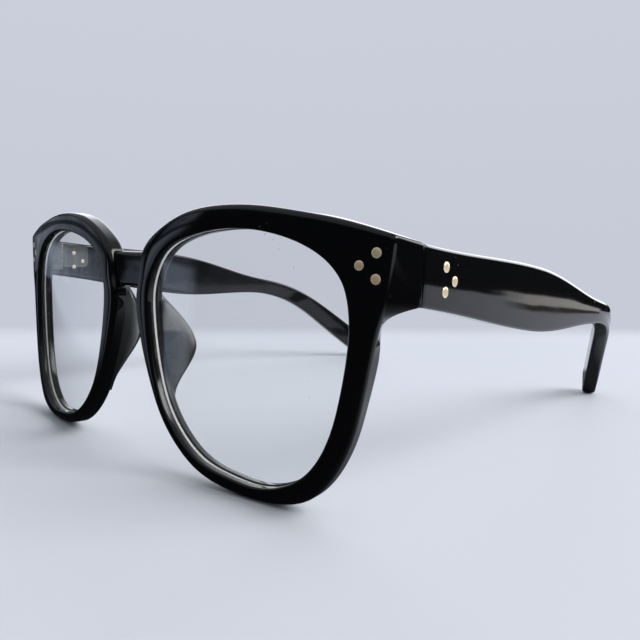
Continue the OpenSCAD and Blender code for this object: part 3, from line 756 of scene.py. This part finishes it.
def rivet_tree():
    """On each seed a low domed head, whose skirt goes into the acetate, and the peened shank."""
    g = Growth("rivets")
    for name, millimetres in (
            ("Head radius", RIVET_HEAD_R * HEAD_SHARE), ("Crown", RIVET_CROWN * CROWN_SHARE),
            ("Skirt", RIVET_SKIRT), ("Shank radius", RIVET_R), ("Length", RIVET_L), ("Peened", RIVET_PEENED)):
        g.size(name, millimetres / 1000)
    seeds = g.start()

    def sums(operation, a, b=0.0):
        return g.node("ShaderNodeMath", {"operation": operation}, {0: a, 1: b})

    def times(a, b):
        return sums("MULTIPLY", a, b)

    def minus(a, b):
        return sums("SUBTRACT", a, b)

    x, y, z = g.node("ShaderNodeSeparateXYZ", {}, {0: g.node("GeometryNodeInputPosition")}).node.outputs
    radial = sums("SQRT", sums("ADD", times(x, x), times(y, y)))
    top = sums("GREATER_THAN", z, 0.5)
    under = minus(1.0, top)

    def cylinder(corners, rows, rounds):
        """Radius 1, from -1 to 1, and each point keeps its distance from the axis."""
        plain = g.node("GeometryNodeMeshCylinder", {"fill_type": "TRIANGLE_FAN"},
                       {"Vertices": corners, "Side Segments": rows, "Fill Segments": rounds,
                        "Radius": 1.0, "Depth": 2.0})
        return g.node("GeometryNodeStoreNamedAttribute", {"data_type": "FLOAT", "domain": "POINT"},
                      {"Geometry": plain, "Name": "radial", "Value": radial})

    def shaped(mesh, radius, height):
        spot = g.node("ShaderNodeCombineXYZ", {}, {0: times(x, radius), 1: times(y, radius), 2: height})
        return g.node("GeometryNodeSetPosition", {}, {"Geometry": mesh, "Position": spot})

    dome = minus(1.0, sums("POWER", radial, DOME_POWER))
    dish = sums("POWER", minus(1.0, sums("MINIMUM", times(radial, DISH_REACH), 1.0)), 2.0)
    crown = times(minus(dome, times(dish, DISH_D)), g.given("Crown"))
    head = shaped(cylinder(40, 2, 9), g.given("Head radius"),
                  minus(times(top, crown), times(under, g.given("Skirt"))))
    swell = times(minus(1.0, sums("POWER", radial, 2.0)), g.given("Peened"))
    low = times(under, sums("ADD", g.given("Length"), swell))
    shank = shaped(cylinder(24, 1, 4), g.given("Shank radius"), minus(times(top, -UNDER_HEAD / 1000), low))
    joined = g.group.nodes.new("GeometryNodeJoinGeometry")
    for part in (head, shank):
        g.group.links.new(part, joined.inputs[0])
    facing = g.node("GeometryNodeInputNamedAttribute", {"data_type": "FLOAT_VECTOR"}, {"Name": "facing"})
    turn = g.node("FunctionNodeAlignRotationToVector", {"axis": "Z"}, {"Vector": facing})
    set_on = g.node("GeometryNodeInstanceOnPoints", {},
                    {"Points": seeds, "Instance": joined.outputs[0], "Rotation": turn})
    g.end(set_on, BRASS)
    return g


RIVETS = [(0, RIVET_RISE / 2), (RIVET_REACH, 0), (0, -RIVET_RISE / 2)]
front_places, front_facing, temple_places, temple_facing = [], [], [], []
for away, rise in RIVETS:
    a = math.asin((temple_out - FRONT_RIVET_X - away) / FACE_R)
    facing = np.array([math.sin(a), -math.cos(a), 0])
    front_places.append(np.array([0, FACE_R, hinge_v + FRONT_RIVET_UP + rise]) + FACE_R * facing)
    front_facing.append(facing)
    s = TEMPLE_RIVET_Y + away
    v = temple_v - s * math.tan(math.radians(SLOPE)) + rise
    outside = temple_out + TEMPLE_CROWN - HEAD_INSET
    temple_places.append(np.array([outside, back_y(temple_out) + JOINT_GAP + s, v]))
    temple_facing.append(np.array([1.0, 0, 0]))

tree = rivet_tree()
front_l = FRONT_T - LEAF_SINK + LEAF_T
temple_l = TEMPLE_T + TEMPLE_CROWN - LEAF_SINK + LEAF_T
for side, sign in (("left", 1), ("right", -1)):
    for part, body, places, facings, length in (
            ("front_rivets_", "front", front_places, front_facing, front_l),
            ("temple_rivets_", side + "_temple", temple_places, temple_facing, temple_l)):
        seeds = seeds_mesh(part + side, put(places) * [sign, 1, 1], turned(facings) * [sign, 1, 1])
        rivets = tree.grow(part + side + "_set", seeds, Length=(length - SHANK_SHORT) / 1000)
        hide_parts(part + side)
        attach(rivets, body)

# Hinges, screws and core wires keep the model's shape and get a material.
COATS = {"front_hinge_": GILT, "temple_hinge_": GILT, "hinge_screw_": SCREW, "core_wire_": CORE}
for kind, coat in COATS.items():
    for side in ("left", "right"):
        for slot in frame["nodes"][kind + side].material_slots:
            slot.material = coat

# The camera, fitted to the photograph: place, heading to the left of +Y, tilt, roll and focal length.
EYE = Vector((0.121003, -0.142982, 0.045335))
YAW, PITCH, ROLL, FOCAL = 0.741198, 0.111164, -0.019931, 628.11
SENSOR, PIXELS = 36, 640
forward = Vector((-math.sin(YAW) * math.cos(PITCH), math.cos(YAW) * math.cos(PITCH), -math.sin(PITCH)))
across = Vector((math.cos(YAW), math.sin(YAW), 0))
down = forward.cross(across)
right = across * math.cos(ROLL) + down * math.sin(ROLL)
below = down * math.cos(ROLL) - across * math.sin(ROLL)
camera = bpy.data.objects.new("camera", bpy.data.cameras.new("camera"))
camera.data.sensor_width = SENSOR
camera.data.lens = FOCAL * SENSOR / PIXELS
camera.data.clip_start, camera.data.clip_end = 0.005, 20
camera.matrix_world = Matrix.Translation(EYE) @ Matrix((right, -below, -forward)).transposed().to_4x4()
bpy.context.scene.collection.objects.link(camera)
bpy.context.scene.camera = camera


# Stage: a pale table top that passes into the backdrop's tone behind the glasses. Distances are in metres
# and angles in degrees. A pair of numbers says between which values a share goes from 0 to 1.
WALL, WALL_STRENGTH, WALL_TOP = (0.585, 0.615, 0.70), 0.97, 1.02
TABLE_HALF = 1.2
# The shaded side's share darkens the table's colour on the camera's right: painted shade.
TABLE_SKEW, TABLE_END, PAINTED_SIDE_SHADE = 0.14, (0.13, 0.19), 0.36
# The dim table and the window on the table are painted shade and painted reflections, seen only in
# reflections. The dim room, the room above and the window on the wall are the sky's light.
PAINTED_DIM_TABLE, DIM_ROOM, ROOM_ABOVE = (0.012, 0.012, 0.014), (0.012, 0.013, 0.015), (0.36, 0.38, 0.41)
PAINTED_WINDOW_ON_TABLE, WINDOW_ON_WALL = (0.42, 0.50, 0.64), (0.62, 0.72, 0.90)
# Where the windows stand, and the place on the table that they are seen from.
WINDOW_LEFT, WINDOW_RIGHT = ((-137, -133.5), (-125.5, -127)), ((-122.5, -121), (-80, -90))
RIGHT_STRENGTH, WINDOWS_FROM = 0.6, (0.01, -0.072)
# Painted reflections for the near temple lie on the table round its joint, seen only in reflections: the lit
# part, a brown band and a streak. In reflections the table has painted shade beside the temple's tip.
JOINT_PLACE = (0.064, -0.01)
LIT_REACH, LIT_SLANT, TIP_SHADE = (0.52, 0.46), 0.3, 0.85
BAND_NEAR, BAND_FAR, PAINTED_BAND = (0.30, 0.34), (0.45, 0.40), (0.14, 0.11, 0.09)
STREAK_NEAR, STREAK_FAR, PAINTED_STREAK = (0.39, 0.42), (0.70, 0.62), (1.25, 1.23, 1.2)
# Soft-edged lights: azimuth, elevation, width, height and softness, then colour.
LIGHTS = ((-8, 40, 90, 30, 8, (1.5, 1.55, 1.65)), (-26, 18, 84, 32, 2, (2.0, 2.05, 2.15)),
          (-2, 19, 40, 30, 3, (3.5, 3.6, 3.75)), (64, 38, 40, 30, 7, (7.7, 7.7, 7.8)))


def bearing(x, y):
    """The direction of a place: 0 is +Y, and it goes towards +X."""
    return x.math("ARCTAN2", y) * (180 / math.pi)


def windows(azimuth):
    """Two windows with a dark post between them."""
    left, right = (azimuth.step(*start) * azimuth.step(*end) for start, end in (WINDOW_LEFT, WINDOW_RIGHT))
    return (left + right * RIGHT_STRENGTH).math("MINIMUM", 1)


def table_top():
    """A pale table with the backdrop past its far edge. Polished acetate sees painted reflections on it: a
    dim room, windows, a band and a streak.
    """
    t = finish("pale table")
    x, y = t.parts(t.place())[:2]
    ahead = (x * forward[0] + y * forward[1]) / math.hypot(forward[0], forward[1])
    aside = x * across[0] + y * across[1]
    far = ahead - aside * TABLE_SKEW
    cloud = t.noise(7, 3)
    # Painted shade in the table's colour: darker towards the back and on the camera's right, for how the
    # light falls.
    near_tone = t.mix(cloud, (0.64, 0.66, 0.71), (0.67, 0.69, 0.74))
    back_tone = t.mix(cloud, (0.60, 0.625, 0.68), (0.63, 0.655, 0.71))
    tone = t.mix(far.step(-0.12, 0.12), near_tone, back_tone)
    tone = t.mix(aside.step(-0.16, 0.12) * PAINTED_SIDE_SHADE, tone, (0.50, 0.525, 0.57))
    top = t.principled(
        Base_Color=tone, Roughness=0.66 + t.noise(300, 2) * 0.1,
        Normal=t.bump(t.noise(420, 3), 0.03, 0.0002), Specular_IOR_Level=0.2)
    wall = t.node("Emission", {}, {"Color": (*WALL, 1), "Strength": WALL_STRENGTH})
    table = t.node("MixShader", {}, {"Fac": far.step(*TABLE_END), 1: top, 2: wall})

    def over(base, share, colour):
        glow = t.node("Emission", {}, {"Color": (*colour, 1)})
        return t.node("MixShader", {}, {"Fac": share, 1: base, 2: glow})

    from_joint = x - JOINT_PLACE[0], y - JOINT_PLACE[1]
    reach = (from_joint[0] ** 2 + from_joint[1] ** 2) ** 0.5
    # Painted shade in reflections beside the temple's tip, and a painted lit part round the joint.
    tip = x.step(0.02, 0.028) * x.step(0.06, 0.054) * y.step(0.03, 0.04) * y.step(0.12, 0.1)
    lit = (y + from_joint[0] * LIT_SLANT).step(-0.08, 0.0) * reach.step(*LIT_REACH) * (1 - tip * TIP_SHADE)
    beside = bearing(*from_joint)
    strip = beside.step(13, 16) * beside.step(29, 25)
    azimuth = bearing(x - WINDOWS_FROM[0], y - WINDOWS_FROM[1])
    # Painted reflections, seen only by glossy rays: a dim table with painted shade outside the lit part,
    # painted windows, a brown band and a streak.
    mirrored = over(table, 1 - lit, PAINTED_DIM_TABLE)
    mirrored = over(mirrored, windows(azimuth) * y.step(-0.10, -0.14), PAINTED_WINDOW_ON_TABLE)
    mirrored = over(mirrored, strip * reach.step(*BAND_NEAR) * reach.step(*BAND_FAR), PAINTED_BAND)
    mirrored = over(mirrored, strip * reach.step(*STREAK_NEAR) * reach.step(*STREAK_FAR), PAINTED_STREAK)
    return t.done(t.node("MixShader", {}, {"Fac": t.node("LightPath", out=3), 1: table, 2: mirrored}))


floor_mesh = bpy.data.meshes.new("table")
floor_corners = [(TABLE_HALF * a, TABLE_HALF * b, 0) for a, b in ((-1, -1), (1, -1), (1, 1), (-1, 1))]
floor_mesh.from_pydata(floor_corners, [], [(0, 1, 2, 3)])
floor_mesh.materials.append(table_top())
floor = bpy.data.objects.new("table", floor_mesh)
bpy.context.scene.collection.objects.link(floor)


def direction(azimuth, elevation):
    """Azimuth 0 is +Y and goes towards +X."""
    a, e = math.radians(azimuth), math.radians(elevation)
    return Vector((math.sin(a) * math.cos(e), math.cos(a) * math.cos(e), math.sin(e)))


def studio():
    """A pale backdrop for the camera. Light and reflections come from a dim room with windows."""
    t = Tree(bpy.data.worlds.new("studio"))
    d = t.node("TexCoord", out=0)

    def facing(towards):
        return t.node("VectorMath", {"operation": "DOT_PRODUCT"}, {0: d, 1: tuple(towards)}, out=1)

    def card(azimuth, elevation, wide, high, soft):
        """A soft-edged patch of sky."""
        c = direction(azimuth, elevation)
        side = direction(azimuth + 90, 0)
        up = side.cross(c)
        depth = facing(c)
        ahead = depth.math("MAXIMUM", 0.001)
        u = (facing(side) / ahead).math("ABSOLUTE")
        v = (facing(up) / ahead).math("ABSOLUTE")
        w, h, s = (math.tan(math.radians(k)) for k in (wide / 2, high / 2, soft))
        return u.step(w + s, max(w - s, 0)) * v.step(h + s, max(h - s, 0)) * depth.step(0, 0.02)

    east, north, height = t.parts(d)
    panes = t.noise(7, 3, d).step(0.3, 0.62, 0.3, 1.0)
    sill = 1 - height.step(0.02, 0.04) * height.step(0.1, 0.08) * 0.8
    colour = t.mix(height.step(0.22, 0.46), DIM_ROOM, ROOM_ABOVE)
    window = windows(bearing(east, north)) * height.step(0.26, 0.2) * sill * panes
    colour = t.mix(window, colour, WINDOW_ON_WALL)
    for *patch, light in LIGHTS:
        colour = t.mix(card(*patch), colour, light)
    seen = t.node("LightPath", out=0)
    low_tone, high_tone = (tuple(v * k for v in WALL) for k in (WALL_STRENGTH, WALL_TOP))
    backdrop = t.mix(height.step(-0.1, 0.5), low_tone, high_tone)
    shown = t.mix(seen, colour, backdrop)
    return t.done(t.node("Background", {}, {"Color": shown, "Strength": 1.0}), "OutputWorld")


bpy.context.scene.world = studio()
bpy.context.scene.view_settings.view_transform = "Standard"
